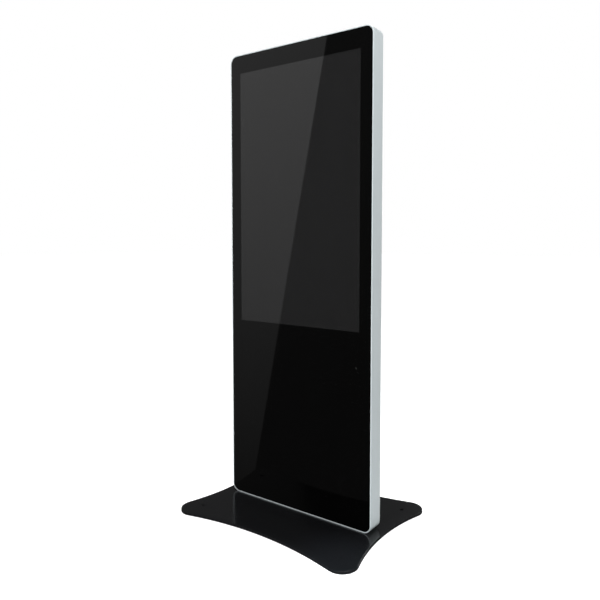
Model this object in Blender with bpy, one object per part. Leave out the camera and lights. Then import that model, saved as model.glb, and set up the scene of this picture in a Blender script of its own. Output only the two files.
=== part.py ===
"""Freestanding touchscreen kiosk: a slim portrait display body on a four-pointed steel base plate.

Metres, +Z up, +X to the right seen from the front, -Y to the front. The origin is on the floor
under the middle of the base plate. Pieces of the body are placed from an empty at the body's foot,
so their heights are measured from the underside of the body.
"""

import math

import bmesh
import bpy

GAP = 0.0003  # clearance between two pieces that touch on the real object

# Base plate: four rounded tips joined by hollow arcs.
PAD_THICKNESS = 0.002
BASE_THICKNESS = 0.010
BASE_TIP = (0.322, 0.229)  # centre of each rounded tip
BASE_TIP_RADIUS = 0.055
BASE_MIDDLE = (0.343, 0.240)  # distance from the centre to the middle of the side and front arcs
ANCHOR = (0.310, 0.205)
ANCHOR_RADIUS = 0.0065
BASE_BOLT = (0.210, 0.014)
PAD_RADIUS = 0.030

# Body.
BODY_WIDTH = 0.628
BODY_HEIGHT = 1.700
BODY_DEPTH = 0.066
BODY_BOTTOM = PAD_THICKNESS + GAP + BASE_THICKNESS + GAP
CORNER_RADIUS = 0.030
FRONT = -BODY_DEPTH / 2
BACK = BODY_DEPTH / 2
BEAD = 0.0035  # width of the frame's edge beside the glass
FRONT_EDGE_RADIUS = 0.0012
BACK_EDGE_RADIUS = 0.003
WALL = 0.0025
LEDGE = 0.016  # how far the frame's inner flanges reach in from its outside
LEDGE_THICKNESS = 0.002

# Depth of each layer behind the front, measured as Y.
GLASS_FRONT = FRONT + 0.0005
GLASS_THICKNESS = 0.004
GLASS_BACK = GLASS_FRONT + GLASS_THICKNESS
GASKET_THICKNESS = 0.0015
LEDGE_FRONT = GLASS_BACK + GASKET_THICKNESS + 2 * GAP
COVER_THICKNESS = 0.0015
COVER_FRONT = BACK - COVER_THICKNESS
RETURN_BACK = COVER_FRONT - GAP
RETURN_FRONT = RETURN_BACK - LEDGE_THICKNESS

# Display module, a 43 inch portrait panel.
SCREEN_SIZE = (0.5294, 0.9412)
SCREEN_Z = 1.1583
MODULE_SIZE = (0.557, 0.969)
MODULE_FRONT = GLASS_BACK + 0.0013
MODULE_BACK = -0.0140
SENSOR = (0.254, 0.564)

# Inner steel frame.
UPRIGHT_X = 0.256
UPRIGHT_WIDTH = 0.040
UPRIGHT_DEPTH = 0.022
STEEL = 0.002
UPRIGHT_FRONT = MODULE_BACK + 0.0004
BOTTOM_PLATE = (0.283, 0.006)  # half length, thickness
PANEL_THICKNESS = 0.0012
PANEL_BACK = GLASS_BACK + GAP + PANEL_THICKNESS

# Back of the body.
SCREW_X = BODY_WIDTH / 2 - 0.0098
SCREW_HEIGHTS = (0.100, 0.850, 1.600)
DOOR_CENTRE = (0.0, 0.340)
DOOR_OPENING = (0.410, 0.400)
DOOR_GAP = 0.0015
DOOR_FLANGE = 0.0115
HINGE_X = DOOR_CENTRE[0] + DOOR_OPENING[0] / 2 - DOOR_GAP / 2
HINGE_HEIGHTS = (0.210, 0.470)
KNUCKLE_RADIUS = 0.0036
HINGE_Y = BACK + 0.0004 + KNUCKLE_RADIUS
LEAF_THICKNESS = 0.0015
LEAF_HEIGHT = 0.060
PIN_RADIUS = 0.0015
LOCK = (-0.175, 0.340)
LOCK_NOTCH = (-0.037, 0.011)  # foot and head of the notch, measured up from the lock
TRAY_CENTRE = (0.0, 0.075)
TRAY_SIZE = (0.256, 0.056)
TRAY_FLOOR = 0.0125
FAN_X = 0.110
FAN_Z = 1.520
FAN_SIZE = 0.080
FAN_DEPTH = 0.025
FAN_Y = RETURN_BACK - 0.0005 - FAN_DEPTH
SPEAKER_X = 0.150
SPEAKER_Z = 0.605
SPEAKER_SIZE = (0.110, 0.056)

# Sockets and switch in the recessed tray, as distances of their middles from the tray's middle.
INLET_X = -0.095
SWITCH_X = -0.055
SOCKET_X = 0.060
ROCKER_TILT = math.radians(9)


# ---- plane shapes -------------------------------------------------------------------------------

def rounded(width, height, radius, steps=6):
    """Outline of a rounded rectangle round the origin, anticlockwise."""
    points = []
    for corner, (side_u, side_v) in enumerate(((1, 1), (-1, 1), (-1, -1), (1, -1))):
        centre_u = side_u * (width / 2 - radius)
        centre_v = side_v * (height / 2 - radius)
        for step in range(steps + 1):
            angle = (corner + step / steps) * math.pi / 2
            points.append((centre_u + radius * math.cos(angle),
                           centre_v + radius * math.sin(angle)))
    return points


def rectangle(width, height):
    half_u, half_v = width / 2, height / 2
    return [(-half_u, -half_v), (half_u, -half_v), (half_u, half_v), (-half_u, half_v)]


def circle(radius, sides):
    return [(radius * math.cos(math.tau * i / sides), radius * math.sin(math.tau * i / sides))
            for i in range(sides)]


def hexagon(across_flats, sides):
    """A hexagon drawn with as many points as the circle beside it, so that the two can be joined."""
    points = []
    for i in range(sides):
        angle = math.tau * i / sides
        radius = across_flats / 2 / math.cos(angle % (math.pi / 3) - math.pi / 6)
        points.append((radius * math.cos(angle), radius * math.sin(angle)))
    return points


def moved(outline, u, v):
    return [(a + u, b + v) for a, b in outline]


def arc(centre, radius, start, end, steps):
    return [(centre[0] + radius * math.cos(start + (end - start) * i / steps),
             centre[1] + radius * math.sin(start + (end - start) * i / steps)) for i in range(steps + 1)]


def base_outline(inset=0.0):
    """Four rounded tips joined by hollow arcs that meet the tips in a smooth line."""
    tip_x, tip_y = BASE_TIP
    radius = BASE_TIP_RADIUS
    rise_x = BASE_MIDDLE[0] - tip_x
    rise_y = BASE_MIDDLE[1] - tip_y
    side_radius = (tip_y**2 + rise_x**2 - radius**2) / (2 * (radius - rise_x))
    front_radius = (tip_x**2 + rise_y**2 - radius**2) / (2 * (radius - rise_y))
    side_centre = BASE_MIDDLE[0] + side_radius
    front_centre = BASE_MIDDLE[1] + front_radius
    side_half = math.asin(tip_y / (side_radius + radius))
    front_half = math.asin(tip_x / (front_radius + radius))
    points = []
    for quarter in range(4):
        across = quarter % 2 == 0
        turn = quarter * math.pi / 2
        swap = (tip_x, tip_y) if across else (tip_y, tip_x)
        first_half, second_half = (side_half, front_half) if across else (front_half, side_half)
        first_centre = side_centre if across else front_centre
        first_radius = side_radius if across else front_radius
        hollow = arc((first_centre, 0), first_radius + inset,
                     math.pi + first_half, math.pi - first_half, 12)
        tip = arc(swap, radius - inset, -first_half, math.pi / 2 + second_half, 10)
        for u, v in hollow[:-1] + tip[:-1]:
            points.append((u * math.cos(turn) - v * math.sin(turn),
                           u * math.sin(turn) + v * math.cos(turn)))
    return points


# ---- solids -------------------------------------------------------------------------------------

def upward(u, v, w):
    """The outline lies flat and the solid rises along Z."""
    return (u, v, w)


def backward(u, v, w):
    """The outline faces the front (X and Z) and the solid runs back along Y."""
    return (u, w, v)


def sideways(u, v, w):
    """The outline is a side view (Y and Z) and the solid runs along X."""
    return (w, u, v)


def add_layers(bm, layers, place, ring=False):
    """Join outlines of equal length, given as (outline, height), into one closed skin."""
    loops = [[bm.verts.new(place(u, v, height)) for u, v in outline] for outline, height in layers]
    pairs = list(zip(loops, loops[1:]))
    if ring:
        pairs.append((loops[-1], loops[0]))
    for low, high in pairs:
        for i in range(len(low)):
            after = (i + 1) % len(low)
            bm.faces.new((low[i], low[after], high[after], high[i]))
    if not ring:
        bm.faces.new(loops[0])
        bm.faces.new(loops[-1])


def add_prism(bm, outline, low, high, place):
    add_layers(bm, [(outline, low), (outline, high)], place)


def add_box(bm, x, y, z):
    """A block from a (low, high) pair on each axis."""
    outline = [(x[0], y[0]), (x[1], y[0]), (x[1], y[1]), (x[0], y[1])]
    add_prism(bm, outline, z[0], z[1], upward)


def new_object(name, bm, parent, location):
    bmesh.ops.recalc_face_normals(bm, faces=bm.faces)
    mesh = bpy.data.meshes.new(name)
    bm.to_mesh(mesh)
    bm.free()
    obj = bpy.data.objects.new(name, mesh)
    bpy.context.scene.collection.objects.link(obj)
    obj.parent = parent
    obj.location = location
    return obj


def solid(name, bm, material, parent=None, location=(0, 0, 0)):
    obj = new_object(name, bm, parent, location)
    obj.data.materials.append(material)
    obj.data.shade_smooth()
    obj.data.set_sharp_from_angle(angle=math.radians(30))
    return obj


def tool(name, bm, parent=None, location=(0, 0, 0)):
    """A helper solid for a Boolean, which isn't a piece of the kiosk."""
    obj = new_object(name, bm, parent, location)
    obj.hide_render = True
    obj.display_type = "WIRE"
    return obj


def combine(target, helper, operation):
    modifier = target.modifiers.new(operation.lower(), "BOOLEAN")
    modifier.operation = operation
    modifier.solver = "EXACT"
    modifier.object = helper


def cut(target, bm, parent=None, location=(0, 0, 0)):
    combine(target, tool(f"{target.name}_cut_{len(target.modifiers)}", bm, parent, location), "DIFFERENCE")


def unite(target, bm, parent=None, location=(0, 0, 0)):
    combine(target, tool(f"{target.name}_add_{len(target.modifiers)}", bm, parent, location), "UNION")


def empty(name, location, parent=None):
    obj = bpy.data.objects.new(name, None)
    bpy.context.scene.collection.objects.link(obj)
    obj.parent = parent
    obj.location = location
    obj.empty_display_size = 0.03
    return obj


def principled(name, colour, roughness, metallic=0.0):
    material = bpy.data.materials.new(name)
    material.use_nodes = True
    shader = material.node_tree.nodes["Principled BSDF"]
    shader.inputs["Base Color"].default_value = (*colour, 1.0)
    shader.inputs["Roughness"].default_value = roughness
    shader.inputs["Metallic"].default_value = metallic
    material.diffuse_color = (*colour, 1.0)
    return material


# ---- base ---------------------------------------------------------------------------------------

def quarters(point):
    """A point and its mirror images in the four quarters of the base."""
    return [(side_x * point[0], side_y * point[1]) for side_x in (-1, 1) for side_y in (-1, 1)]


def make_base_plate(paint):
    bottom = PAD_THICKNESS + GAP
    edge = ((0.0010, 0.0), (0.0, 0.0010), (0.0, BASE_THICKNESS - 0.0012),
            (0.0004, BASE_THICKNESS - 0.0004), (0.0012, BASE_THICKNESS))
    bm = bmesh.new()
    add_layers(bm, [(base_outline(inset), height) for inset, height in edge], upward)
    plate = solid("base_plate", bm, paint, location=(0, 0, bottom))
    holes = bmesh.new()
    for x, y in quarters(ANCHOR):
        add_prism(holes, moved(circle(ANCHOR_RADIUS, 16), x, y), bottom - 0.01, bottom + 0.02, upward)
    for x, y in quarters(BASE_BOLT):
        sink = ((0.0108, -0.001), (0.0108, 0.0012), (0.0055, 0.0065), (0.0055, 0.02))
        layers = [(moved(circle(radius, 12), x, y), bottom + height) for radius, height in sink]
        add_layers(holes, layers, upward)
    cut(plate, holes)


def make_base_pads(rubber):
    for number, (x, y) in enumerate(quarters(ANCHOR), 1):
        inner = circle(ANCHOR_RADIUS + 0.003, 16)
        outer = circle(PAD_RADIUS, 16)
        bm = bmesh.new()
        layers = [(outer, 0), (outer, PAD_THICKNESS), (inner, PAD_THICKNESS), (inner, 0)]
        add_layers(bm, layers, upward, ring=True)
        solid(f"base_pad_{number}", bm, rubber, location=(x, y, 0))


def make_base_bolts(steel):
    """Countersunk bolts that come up through the plate into the body's threaded bottom plate."""
    sides = 12
    profile = ((0.0098, 0.0), (0.0098, 0.0008), (0.0050, 0.0056), (0.0050, 0.0195))
    layers = [(hexagon(0.006, sides), 0.004), (hexagon(0.006, sides), 0.0)]
    layers += [(circle(radius, sides), height) for radius, height in profile]
    for number, (x, y) in enumerate(quarters(BASE_BOLT), 1):
        bm = bmesh.new()
        add_layers(bm, layers, upward)
        solid(f"base_bolt_{number}", bm, steel, location=(x, y, PAD_THICKNESS + GAP + 0.0003))


# ---- frame and front ----------------------------------------------------------------------------

def body_outline(inset):
    return rounded(BODY_WIDTH - 2 * inset, BODY_HEIGHT - 2 * inset, CORNER_RADIUS - inset, 6)


def make_side_frame(aluminium, body):
    """A channel bent into a ring: a rounded outer wall, a flange for the glass and one for the cover."""
    front_centre = (FRONT_EDGE_RADIUS, FRONT + FRONT_EDGE_RADIUS)
    back_centre = (BACK_EDGE_RADIUS, BACK - BACK_EDGE_RADIUS)
    front_edge = arc(front_centre, FRONT_EDGE_RADIUS, math.pi, 1.5 * math.pi, 2)
    back_edge = arc(back_centre, BACK_EDGE_RADIUS, math.pi / 2, math.pi, 3)
    profile = front_edge + [
        (BEAD, FRONT), (BEAD, LEDGE_FRONT), (LEDGE, LEDGE_FRONT), (LEDGE, LEDGE_FRONT + LEDGE_THICKNESS),
        (WALL, LEDGE_FRONT + LEDGE_THICKNESS), (WALL, RETURN_FRONT), (LEDGE, RETURN_FRONT),
        (LEDGE, RETURN_BACK), (BEAD, RETURN_BACK), (BEAD, BACK),
    ] + back_edge
    bm = bmesh.new()
    add_layers(bm, [(body_outline(inset), depth) for inset, depth in profile], backward, ring=True)
    frame = solid("side_frame", bm, aluminium, body, (0, 0, BODY_HEIGHT / 2))
    holes = bmesh.new()
    for x, y in quarters(BASE_BOLT):
        add_prism(holes, moved(circle(0.0055, 12), x, y), -0.01, WALL + 0.002, upward)
    for x in (-SCREW_X, SCREW_X):
        for z in SCREW_HEIGHTS:
            hole = moved(circle(0.0023, 12), x, z)
            add_prism(holes, hole, RETURN_FRONT - 0.002, RETURN_BACK + 0.002, backward)
    cut(frame, holes, body)


def make_front_glass(glass, body):
    inset = BEAD + 0.0005
    chamfer = 0.0004
    bm = bmesh.new()
    layers = [(body_outline(inset + chamfer), GLASS_FRONT),
              (body_outline(inset), GLASS_FRONT + chamfer), (body_outline(inset), GLASS_BACK)]
    add_layers(bm, layers, backward)
    solid("front_glass", bm, glass, body, (0, 0, BODY_HEIGHT / 2))


def make_glass_gasket(foam, body):
    outer = body_outline(BEAD + 0.0007)
    inner = body_outline(LEDGE - 0.001)
    front = GLASS_BACK + GAP
    back = front + GASKET_THICKNESS
    bm = bmesh.new()
    add_layers(bm, [(outer, front), (outer, back), (inner, back), (inner, front)], backward, ring=True)
    solid("glass_gasket", bm, foam, body, (0, 0, BODY_HEIGHT / 2))


def make_touch_film(film, body):
    bm = bmesh.new()
    size = [side + 0.030 for side in SCREEN_SIZE]
    add_prism(bm, rectangle(*size), GLASS_BACK + GAP, GLASS_BACK + GAP + 0.0004, backward)
    solid("touch_film", bm, film, body, (0, 0, SCREEN_Z))


# ---- display module -----------------------------------------------------------------------------

def module_outline(inset):
    return rectangle(MODULE_SIZE[0] - 2 * inset, MODULE_SIZE[1] - 2 * inset)


def make_lcd_bezel(metal, body):
    window = rectangle(SCREEN_SIZE[0] + 0.002, SCREEN_SIZE[1] + 0.002)
    sheet = 0.001
    skirt_back = MODULE_FRONT + 0.010
    layers = [(module_outline(0), MODULE_FRONT), (window, MODULE_FRONT), (window, MODULE_FRONT + sheet),
              (module_outline(sheet), MODULE_FRONT + sheet), (module_outline(sheet), skirt_back),
              (module_outline(0), skirt_back)]
    bm = bmesh.new()
    add_layers(bm, layers, backward, ring=True)
    solid("lcd_bezel", bm, metal, body, (0, 0, SCREEN_Z))


def make_lcd_cell(lcd, body):
    front = MODULE_FRONT + 0.0013
    bm = bmesh.new()
    add_prism(bm, module_outline(0.007), front, front + 0.002, backward)
    solid("lcd_cell", bm, lcd, body, (0, 0, SCREEN_Z))


def make_diffuser_stack(plastic, body):
    front = MODULE_FRONT + 0.0036
    bm = bmesh.new()
    add_prism(bm, module_outline(0.006), front, front + 0.002, backward)
    solid("diffuser_stack", bm, plastic, body, (0, 0, SCREEN_Z))


def make_backlight_tray(metal, body):
    """An open pan behind the light-spreading sheets, with its rim inside the bezel's skirt."""
    outer = module_outline(0.0015)
    inner = module_outline(0.0025)
    rim = MODULE_FRONT + 0.0059
    layers = [(inner, MODULE_BACK - 0.001), (inner, rim), (outer, rim), (outer, MODULE_BACK)]
    bm = bmesh.new()
    add_layers(bm, layers, backward)
    solid("backlight_tray", bm, metal, body, (0, 0, SCREEN_Z))


# ---- inner steel frame --------------------------------------------------------------------------

def make_bottom_plate(steel, body):
    half_length, thickness = BOTTOM_PLATE
    low = WALL + GAP
    bm = bmesh.new()
    front = LEDGE_FRONT + LEDGE_THICKNESS + GAP
    add_box(bm, (-half_length, half_length), (front, RETURN_FRONT - GAP), (low, low + thickness))
    plate = solid("bottom_plate", bm, steel, body)
    holes = bmesh.new()
    for x, y in quarters(BASE_BOLT):
        add_prism(holes, moved(circle(0.0055, 12), x, y), low - 0.002, low + thickness + 0.002, upward)
    cut(plate, holes, body)


def make_uprights(steel, body):
    """Two channels, open to the back, that carry the display and stand on the bottom plate."""
    half = UPRIGHT_WIDTH / 2
    back = UPRIGHT_FRONT + UPRIGHT_DEPTH
    web = UPRIGHT_FRONT + STEEL
    channel = [(-half, UPRIGHT_FRONT), (half, UPRIGHT_FRONT), (half, back), (half - STEEL, back),
               (half - STEEL, web), (STEEL - half, web), (STEEL - half, back), (-half, back)]
    low = WALL + GAP + BOTTOM_PLATE[1] + GAP
    for name, x in (("upright_left", -UPRIGHT_X), ("upright_right", UPRIGHT_X)):
        bm = bmesh.new()
        add_prism(bm, channel, low, 1.660, upward)
        solid(name, bm, steel, body, (x, 0, 0))


def make_cross_beams(steel, body):
    half = UPRIGHT_X - UPRIGHT_WIDTH / 2 - GAP
    web = UPRIGHT_FRONT + STEEL
    angle = [(UPRIGHT_FRONT, 0.0), (0.0, 0.0), (0.0, STEEL), (web, STEEL), (web, 0.030),
             (UPRIGHT_FRONT, 0.030)]
    for name, z in (("cross_beam_middle", 0.640), ("cross_beam_top", 1.600)):
        bm = bmesh.new()
        add_prism(bm, angle, -half, half, sideways)
        solid(name, bm, steel, body, (0, 0, z))


def make_glass_support(steel, body):
    """The sheet bonded behind the lower glass. The boards and the power supply are fixed to its back."""
    inset = LEDGE + 0.0015
    low, high = inset, 0.650
    outline = rounded(BODY_WIDTH - 2 * inset, high - low, CORNER_RADIUS - LEDGE, 3)
    bm = bmesh.new()
    add_prism(bm, moved(outline, 0, (low + high) / 2), GLASS_BACK + GAP, PANEL_BACK, backward)
    sheet = solid("glass_support", bm, steel, body)
    hole = bmesh.new()
    add_prism(hole, moved(circle(0.004, 12), *SENSOR), GLASS_BACK - 0.001, PANEL_BACK + 0.001, backward)
    cut(sheet, hole, body)


# ---- back cover and door ------------------------------------------------------------------------

def add_slots(bm, centre, length, width, pitch, count, low, high):
    """A stack of level slots with round ends."""
    slot = rounded(length, width, width / 2 - 0.00001, 2)
    for number in range(count):
        z = centre[1] + (number - (count - 1) / 2) * pitch
        add_prism(bm, moved(slot, centre[0], z), low, high, backward)


def make_rear_cover(paint, body):
    bm = bmesh.new()
    add_prism(bm, body_outline(BEAD + 0.0005), COVER_FRONT, BACK, backward)
    cover = solid("rear_cover", bm, paint, body, (0, 0, BODY_HEIGHT / 2))
    low, high = COVER_FRONT - 0.002, BACK + 0.002
    openings = bmesh.new()
    add_prism(openings, moved(rounded(*DOOR_OPENING, 0.004, 3), *DOOR_CENTRE), low, high, backward)
    add_prism(openings, moved(rounded(*TRAY_SIZE, 0.003, 3), *TRAY_CENTRE), low, high, backward)
    for x in (-SCREW_X, SCREW_X):
        for z in SCREW_HEIGHTS:
            add_prism(openings, moved(circle(0.0023, 12), x, z), low, high, backward)
    for side in (-1, 1):
        add_slots(openings, (side * FAN_X, FAN_Z), 0.072, 0.004, 0.008, 9, low, high)
        add_slots(openings, (side * SPEAKER_X, SPEAKER_Z), 0.060, 0.003, 0.007, 6, low, high)
    add_slots(openings, (0.0, SPEAKER_Z), 0.100, 0.004, 0.008, 7, low, high)
    cut(cover, openings, body)


def make_cover_screws(steel, body):
    sides = 12
    profile = ((0.0038, 0.0014), (0.0038, 0.0), (0.0020, 0.0), (0.0020, -0.0068))
    layers = [(hexagon(0.0025, sides), 0.0008), (hexagon(0.0025, sides), 0.0022)]
    layers += [(circle(0.0027, sides), 0.0022)]
    layers += [(circle(radius, sides), height) for radius, height in profile]
    number = 0
    for x in (-SCREW_X, SCREW_X):
        for z in SCREW_HEIGHTS:
            number += 1
            bm = bmesh.new()
            add_layers(bm, layers, backward)
            solid(f"cover_screw_{number}", bm, steel, body, (x, BACK + GAP, z))


def make_service_door(paint, hinge):
    """A sheet folded into a shallow tray, its folds pointing into the body.

    The fold nearest the lock has a notch, which the cranked cam swings through.
    """
    width = DOOR_OPENING[0] - 2 * DOOR_GAP
    height = DOOR_OPENING[1] - 2 * DOOR_GAP
    outer = rounded(width, height, 0.003, 3)
    inner = rounded(width - 2 * COVER_THICKNESS, height - 2 * COVER_THICKNESS, 0.0015, 3)
    fold = COVER_FRONT - DOOR_FLANGE + COVER_THICKNESS
    centre = (DOOR_CENTRE[0] - HINGE_X, -HINGE_Y, DOOR_CENTRE[1])
    bm = bmesh.new()
    add_layers(bm, [(outer, BACK), (outer, fold), (inner, fold), (inner, COVER_FRONT)], backward)
    door = solid("service_door", bm, paint, hinge, centre)
    hole = bmesh.new()
    lock_offset = (LOCK[0] - DOOR_CENTRE[0], LOCK[1] - DOOR_CENTRE[1])
    bore = moved(circle(0.0096, 24), *lock_offset)
    add_prism(hole, bore, COVER_FRONT - 0.001, BACK + 0.001, backward)
    notch_x = (-width / 2 - 0.001, -width / 2 + COVER_THICKNESS + 0.0005)
    add_box(hole, notch_x, (fold - 0.001, COVER_FRONT - 0.0001), LOCK_NOTCH)
    cut(door, hole, hinge, centre)


def add_leaf(bm, side):
    """The flat of a hinge leaf, clear of the knuckles: side +1 for the cover's, -1 for the door's."""
    near, far = sorted((side * 0.0042, side * 0.0250))
    low = BACK + GAP - HINGE_Y
    add_box(bm, (near, far), (low, low + LEAF_THICKNESS), (-LEAF_HEIGHT / 2, LEAF_HEIGHT / 2))


def make_leaf(name, side, knuckles, steel, parent, location):
    bm = bmesh.new()
    add_leaf(bm, side)
    leaf = solid(name, bm, steel, parent, location)
    strips = bmesh.new()
    curls = bmesh.new()
    near, far = sorted((side * 0.0006, side * 0.0050))
    floor = BACK + GAP - HINGE_Y
    for low, high in knuckles:
        add_box(strips, (near, far), (floor, floor + LEAF_THICKNESS), (low, high))
        add_prism(curls, circle(KNUCKLE_RADIUS, 16), low, high, upward)
    unite(leaf, strips, parent, location)
    unite(leaf, curls, parent, location)
    bore = bmesh.new()
    add_prism(bore, circle(PIN_RADIUS + 0.00015, 16), -LEAF_HEIGHT, LEAF_HEIGHT, upward)
    cut(leaf, bore, parent, location)


def make_hinge(label, z, steel, body, hinge):
    third = LEAF_HEIGHT / 6
    half = LEAF_HEIGHT / 2
    fixed = [(-half, -third - GAP / 2), (third + GAP / 2, half)]
    swinging = [(GAP / 2 - third, third - GAP / 2)]
    make_leaf(f"hinge_leaf_cover_{label}", 1, fixed, steel, body, (HINGE_X, HINGE_Y, z))
    make_leaf(f"hinge_leaf_door_{label}", -1, swinging, steel, hinge, (0, 0, z))
    pin = ((PIN_RADIUS, -half - 0.001), (PIN_RADIUS, half + GAP), (0.0026, half + GAP),
           (0.0026, half + 0.002))
    bm = bmesh.new()
    add_layers(bm, [(circle(radius, 16), height) for radius, height in pin], upward)
    solid(f"hinge_pin_{label}", bm, steel, body, (HINGE_X, HINGE_Y, z))


def make_lock(chrome, steel, hinge, lock):
    """A cam lock: housing and nut on the door, and a plug that turns a cranked cam behind the cover."""
    sides = 24
    place = (LOCK[0] - HINGE_X, -HINGE_Y, LOCK[1])
    housing = ((0.0062, 0.0357), (0.0105, 0.0357), (0.0110, 0.0350), (0.0110, 0.0333),
               (0.0092, 0.0333), (0.0092, 0.0243), (0.0062, 0.0243))
    bm = bmesh.new()
    add_layers(bm, [(circle(radius, sides), y) for radius, y in housing], backward, ring=True)
    solid("lock_housing", bm, chrome, hinge, place)

    nut_front, nut_back = 0.0262, COVER_FRONT - GAP
    bore = circle(0.0095, sides)
    hexa = hexagon(0.0220, sides)
    layers = [(bore, nut_front), (hexa, nut_front), (hexa, nut_back), (bore, nut_back)]
    bm = bmesh.new()
    add_layers(bm, layers, backward, ring=True)
    solid("lock_nut", bm, steel, hinge, place)

    plug = ((0.0050, 0.0362), (0.0058, 0.0356), (0.0058, 0.0240), (0.0032, 0.0240),
            (0.0032, 0.0205))
    bm = bmesh.new()
    add_layers(bm, [(circle(radius, sides), y) for radius, y in plug], backward)
    barrel = solid("lock_plug", bm, chrome, lock)
    keyway = bmesh.new()
    add_box(keyway, (-0.0006, 0.0006), (0.0300, 0.0380), (-0.0034, 0.0034))
    cut(barrel, keyway, lock)

    near, far, sheet = 0.0217, 0.0290, 0.0020
    crank = [(near, 0.0080), (near, -0.0155), (far, -0.0215), (far, -0.0420),
             (far + sheet, -0.0420), (far + sheet, -0.0205), (near + sheet, -0.0145),
             (near + sheet, 0.0080)]
    bm = bmesh.new()
    add_prism(bm, crank, -0.0075, 0.0075, sideways)
    cam = solid("lock_cam", bm, steel, lock)
    eye = bmesh.new()
    add_prism(eye, circle(0.0036, sides), near - 0.001, near + sheet + 0.001, backward)
    cut(cam, eye, lock)


# ---- recessed socket tray -----------------------------------------------------------------------

def tray_openings():
    """Centre and size of each opening in the tray's floor."""
    z = TRAY_CENTRE[1]
    return [(INLET_X, z, 0.0280, 0.0210), (SWITCH_X, z, 0.0220, 0.0140),
            (SOCKET_X, z, 0.0340, 0.0180)]


def make_io_tray(paint, body):
    flange = (TRAY_SIZE[0] + 0.018, TRAY_SIZE[1] + 0.018)
    wall = COVER_THICKNESS
    rim = RETURN_BACK
    outside = (TRAY_SIZE[0] + 2 * wall, TRAY_SIZE[1] + 2 * wall)
    profile = ((TRAY_SIZE, TRAY_FLOOR), (TRAY_SIZE, rim), (flange, rim), (flange, rim - wall),
               (outside, rim - wall), (outside, TRAY_FLOOR - wall))
    layers = [(rounded(*size, 0.003, 2), y) for size, y in profile]
    bm = bmesh.new()
    add_layers(bm, layers, backward)
    tray = solid("io_tray", bm, paint, body, (TRAY_CENTRE[0], 0, TRAY_CENTRE[1]))
    holes = bmesh.new()
    for x, z, width, height in tray_openings():
        outline = moved(rectangle(width, height), TRAY_CENTRE[0] + x, z)
        add_prism(holes, outline, TRAY_FLOOR - wall - 0.002, TRAY_FLOOR + 0.002, backward)
    cut(tray, holes, body)


def socket_shell(name, centre, flange, shell, depth, material, body, flange_back):
    """A rectangular socket: a flange over the tray's floor and a shell that passes through it."""
    front = TRAY_FLOOR + GAP
    layers = [(rectangle(*flange), flange_back), (rectangle(*flange), front),
              (rectangle(*shell), front), (rectangle(*shell), front - depth)]
    bm = bmesh.new()
    add_layers(bm, layers, backward)
    return solid(name, bm, material, body, (centre[0], 0, centre[1]))


def make_mains_inlet(plastic, body):
    centre = (TRAY_CENTRE[0] + INLET_X, TRAY_CENTRE[1])
    mouth = TRAY_FLOOR + 0.0028
    floor = mouth - 0.0150
    location = (centre[0], 0, centre[1])
    inlet = socket_shell("mains_inlet", centre, (0.0320, 0.0250), (0.0272, 0.0202), 0.019,
                         plastic, body, mouth)
    cavity = bmesh.new()
    outline = [(-0.0120, -0.0082), (0.0120, -0.0082), (0.0120, 0.0042), (0.0080, 0.0082),
               (-0.0080, 0.0082), (-0.0120, 0.0042)]
    add_prism(cavity, outline, floor, mouth + 0.002, backward)
    cut(inlet, cavity, body, location)
    blades = bmesh.new()
    for x, z in ((-0.0070, -0.0020), (0.0070, -0.0020), (0.0, 0.0020)):
        blade_y = (floor - 0.001, mouth - 0.003)
        add_box(blades, (x - 0.001, x + 0.001), blade_y, (z - 0.002, z + 0.002))
    unite(inlet, blades, body, location)


def make_power_switch(plastic, body, rocker_axis):
    centre = (TRAY_CENTRE[0] + SWITCH_X, TRAY_CENTRE[1])
    mouth = TRAY_FLOOR + 0.0023
    floor = mouth - 0.0130
    location = (centre[0], 0, centre[1])
    housing = socket_shell("switch_housing", centre, (0.0250, 0.0170), (0.0212, 0.0132), 0.016,
                           plastic, body, mouth)
    cavity = bmesh.new()
    add_prism(cavity, rectangle(0.0186, 0.0106), floor, mouth + 0.002, backward)
    cut(housing, cavity, body, location)

    half, edge, crease, belly = 0.0086, 0.0026, 0.0014, 0.0050
    paddle = [(-half, edge), (0.0, crease), (half, edge)]
    outline = []
    for x, y in paddle + arc((0.0, 0.0), belly, 0.0, -math.pi, 8):
        turned_x = x * math.cos(ROCKER_TILT) + y * math.sin(ROCKER_TILT)
        turned_y = y * math.cos(ROCKER_TILT) - x * math.sin(ROCKER_TILT)
        outline.append((turned_x, turned_y))
    bm = bmesh.new()
    add_prism(bm, outline, -0.0048, 0.0048, upward)
    solid("switch_rocker", bm, plastic, rocker_axis)


def make_data_sockets(metal, body):
    """One block with a network socket and two stacked serial-bus sockets."""
    centre = (TRAY_CENTRE[0] + SOCKET_X, TRAY_CENTRE[1])
    mouth = TRAY_FLOOR + 0.0023
    location = (centre[0], 0, centre[1])
    block = socket_shell("data_sockets", centre, (0.0370, 0.0206), (0.0332, 0.0172), 0.020,
                         metal, body, mouth)
    cavities = bmesh.new()
    network = moved(rectangle(0.0122, 0.0100), -0.0085, 0.0)
    add_prism(cavities, network, mouth - 0.013, mouth + 0.002, backward)
    for z in (-0.0040, 0.0040):
        serial = moved(rectangle(0.0126, 0.0054), 0.0080, z)
        add_prism(cavities, serial, mouth - 0.012, mouth + 0.002, backward)
    cut(block, cavities, body, location)
    tongues = bmesh.new()
    for z in (-0.0052, 0.0028):
        add_box(tongues, (0.0030, 0.0130), (mouth - 0.013, mouth - 0.002), (z - 0.0006, z + 0.0006))
    unite(block, tongues, body, location)


# ---- electronics --------------------------------------------------------------------------------

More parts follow.
